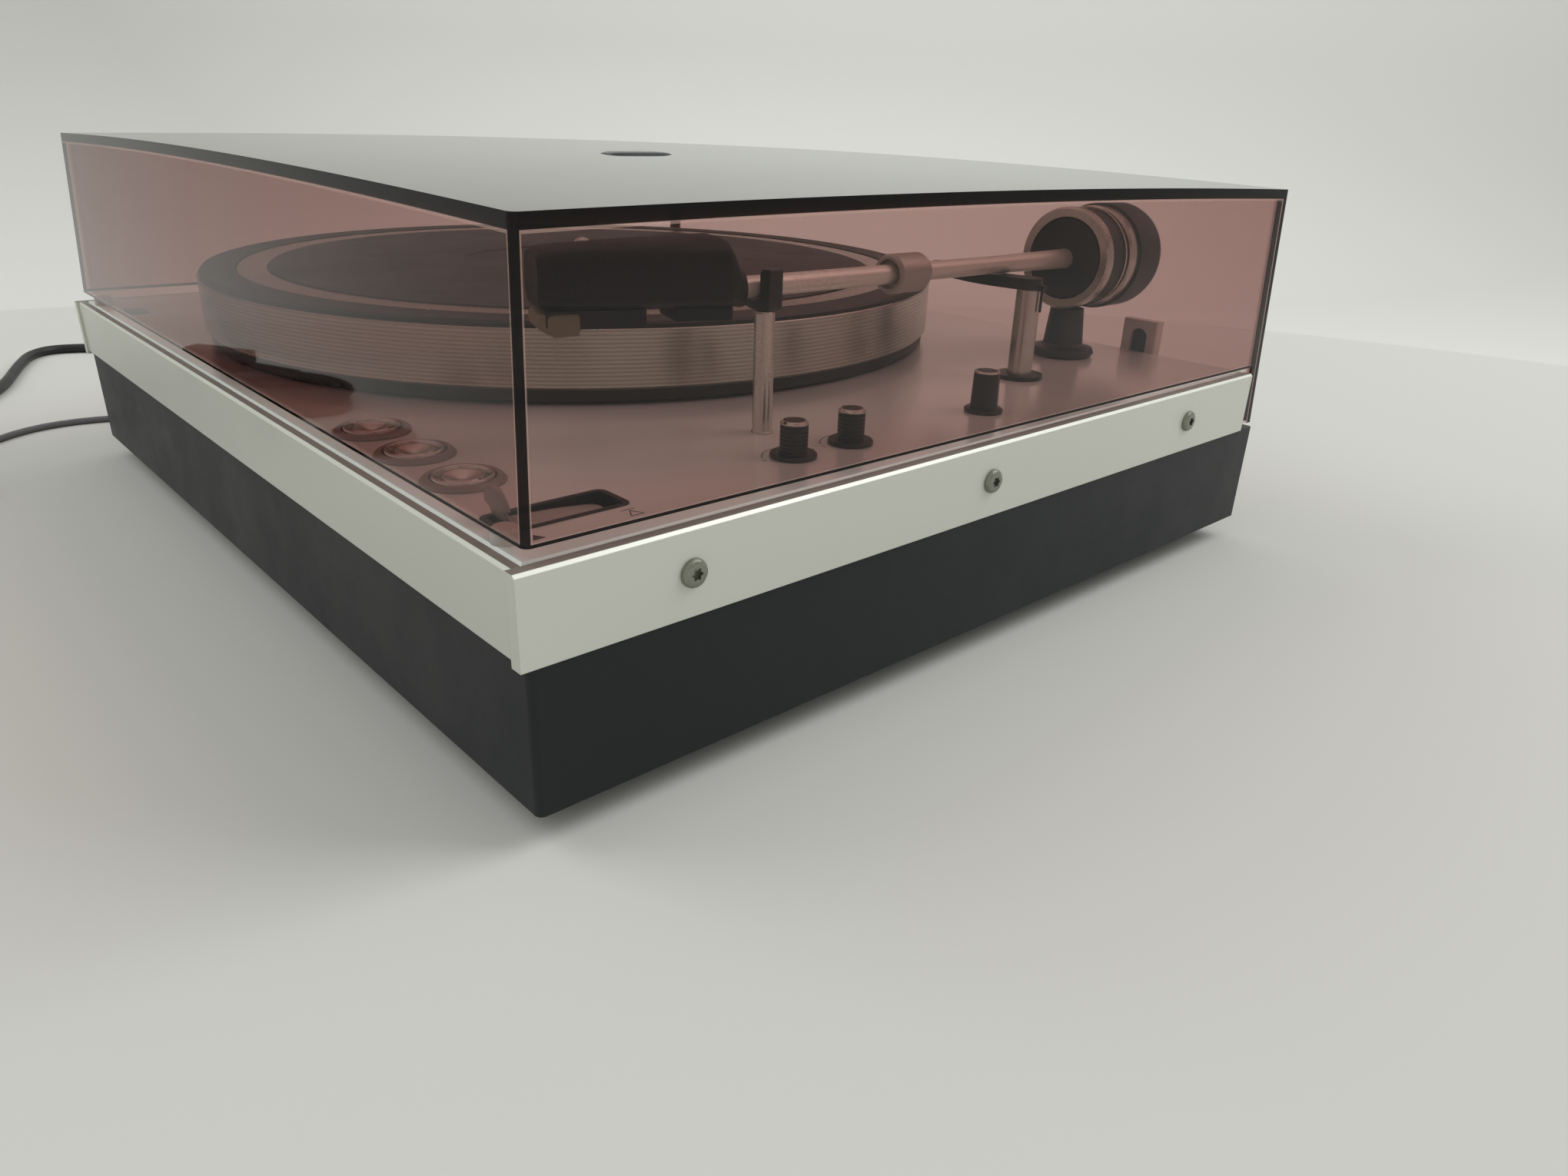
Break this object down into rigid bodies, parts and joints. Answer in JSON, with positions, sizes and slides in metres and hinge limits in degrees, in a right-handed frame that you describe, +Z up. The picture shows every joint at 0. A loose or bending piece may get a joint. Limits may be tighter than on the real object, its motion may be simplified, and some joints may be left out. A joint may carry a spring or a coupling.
{
  "type": "belt-drive turntable",
  "caption": "Low belt-drive record turntable with a straight arm, light metal trim on a dark plinth, a clear tinted hinged lid and its two cords.",
  "frame": {"origin": "on the floor, under the middle of the object without its cords", "axes": "+X towards the arm's side, +Y to the back, where the lid hinges and the cords leave, +Z up"},
  "size_m": [0.6473, 0.686, 0.1439],
  "materials": {
    "plinth_black": "satin",
    "cover_black": "matt",
    "foot_rubber": "matt",
    "strip_metal": "satin, brushed",
    "deck_metal": "semi-gloss",
    "screw_steel": "satin",
    "black_moulding": "satin",
    "polished_metal": "polished",
    "turned_metal": "turned",
    "arm_metal": "polished",
    "soft_black": "matt",
    "board": "matt",
    "chassis_steel": "matt",
    "steel": "satin",
    "platter_metal": "turned",
    "belt_rubber": "matt",
    "weight_black": "satin",
    "weight_bright": "satin",
    "shell_black": "satin",
    "cartridge_black": "satin",
    "guard_olive": "semi-gloss",
    "clear_lid": "clear, tinted brown",
    "mains_black": "satin",
    "signal_grey": "satin"
  },
  "bodies": {
    "base": {"plinth": "plinth_black", "bottom_cover": "cover_black", "feet": "foot_rubber", "bottom_screws": "screw_steel", "front_strip": "strip_metal", "side_strips": "strip_metal", "strip_screws": "screw_steel", "deck_plate": "deck_metal", "cue_tray": "black_moulding", "button_gaiters": "soft_black", "circuit_boards": "board", "chassis_plate": "chassis_steel", "deck_spacers": "steel", "spindle_bearing": "steel", "motor": "chassis_steel", "motor_bushes": "soft_black", "drive_belt": "belt_rubber", "transformer": "chassis_steel", "arm_pillar": "weight_black", "rest_post": "turned_metal", "rest_clip": "black_moulding", "lift_bush": "black_moulding", "lid_buffers": "soft_black", "hinge_blocks": "black_moulding", "mains_cord": "mains_black", "mains_coil": "mains_black", "mains_plug": "mains_black", "signal_cord": "signal_grey", "signal_coil": "signal_grey", "signal_plug": "signal_grey", "cord_ties": "soft_black", "cord_glands": "black_moulding"},
    "platter_group": {"spindle": "steel", "sub_platter": "black_moulding", "platter": "platter_metal", "mats": "soft_black"},
    "motor_shaft": {"motor_pulley": "turned_metal"},
    "arm_yoke": {"arm_housing": "weight_black", "housing_rings": "turned_metal"},
    "arm": {"arm_hub": "weight_black", "arm_tube": "arm_metal", "headshell": "shell_black", "cartridge": "cartridge_black", "stylus_guard": "guard_olive", "stylus": "steel"},
    "tracking_weight_group": {"tracking_weight": "turned_metal"},
    "counterweight_group": {"counterweight": "weight_black", "counterweight_ring": "weight_bright"},
    "cue_lever_group": {"cue_lever": "black_moulding"},
    "lift": {"lift_column": "turned_metal", "lift_wing": "black_moulding"},
    "button_left": {"speed_button_left": "polished_metal"},
    "button_middle": {"speed_button_middle": "polished_metal"},
    "button_right": {"speed_button_right": "polished_metal"},
    "knob_front": {"speed_knob_front": "black_moulding"},
    "knob_back": {"speed_knob_back": "black_moulding"},
    "knob_skate": {"anti_skating_knob": "black_moulding"},
    "lid_group": {"lid": "clear_lid", "hinge_arms": "black_moulding", "hinge_sockets": "polished_metal"}
  },
  "joints": [
    {"name": "platter_spin", "type": "hinge", "parent": "base", "child": "platter_group", "pos_m": [-0.0353, -0.00285, 0.09], "axis": [0, 0, 1], "continuous": true},
    {"name": "motor_spin", "type": "hinge", "parent": "base", "child": "motor_shaft", "pos_m": [-0.10955, 0.0714, 0.08], "axis": [0, 0, 1], "continuous": true},
    {"name": "arm_swing", "type": "hinge", "parent": "base", "child": "arm_yoke", "pos_m": [0.13, 0.12155, 0.1096], "axis": [0, 0, -1], "range_deg": [0, 41]},
    {"name": "arm_raise", "type": "hinge", "parent": "arm_yoke", "child": "arm", "pos_m": [0.13, 0.12155, 0.1096], "axis": [-0.9981, -0.0619, 0], "range_deg": [0, 3]},
    {"name": "tracking_weight_slide", "type": "slide", "parent": "arm", "child": "tracking_weight_group", "axis": [0.0619, -0.9979, 0.019], "range_m": [-0.04, 0.026]},
    {"name": "counterweight_slide", "type": "slide", "parent": "arm", "child": "counterweight_group", "axis": [0.0619, -0.9979, 0.019], "range_m": [-0.003, 0.0015]},
    {"name": "cue_lever_raise", "type": "hinge", "parent": "base", "child": "cue_lever_group", "pos_m": [0.1679, -0.12825, 0.0676], "axis": [-1, 0, 0], "range_deg": [0, 14]},
    {"name": "lift_slide", "type": "slide", "parent": "base", "child": "lift", "axis": [0, 0, 1], "range_m": [-0.0026, 0]},
    {"name": "button_left_press", "type": "slide", "parent": "base", "child": "button_left", "axis": [0, 0, 1], "range_m": [-0.0008, 0], "stiffness_N_per_m": 900, "springref_m": 0.0005},
    {"name": "button_middle_press", "type": "slide", "parent": "base", "child": "button_middle", "axis": [0, 0, 1], "range_m": [-0.0008, 0], "stiffness_N_per_m": 900, "springref_m": 0.0005},
    {"name": "button_right_press", "type": "slide", "parent": "base", "child": "button_right", "axis": [0, 0, 1], "range_m": [-0.0008, 0], "stiffness_N_per_m": 900, "springref_m": 0.0005},
    {"name": "speed_front_turn", "type": "hinge", "parent": "base", "child": "knob_front", "pos_m": [0.1694, -0.06605, 0.07], "axis": [0, 0, 1], "range_deg": [-140, 140]},
    {"name": "speed_back_turn", "type": "hinge", "parent": "base", "child": "knob_back", "pos_m": [0.1694, -0.04325, 0.07], "axis": [0, 0, 1], "range_deg": [-140, 140]},
    {"name": "anti_skating_turn", "type": "hinge", "parent": "base", "child": "knob_skate", "pos_m": [0.1694, 0.01935, 0.07], "axis": [0, 0, 1], "range_deg": [-140, 140]},
    {"name": "lid_open", "type": "hinge", "parent": "base", "child": "lid_group", "pos_m": [0, 0.16275, 0.0535], "axis": [-1, 0, 0], "range_deg": [0, 62]}
  ],
  "couplings": [
    {"joint": "motor_spin", "follows": "platter_spin", "ratio": 11.077},
    {"joint": "lift_slide", "follows": "cue_lever_raise", "m_per_rad": -0.0102}
  ]
}
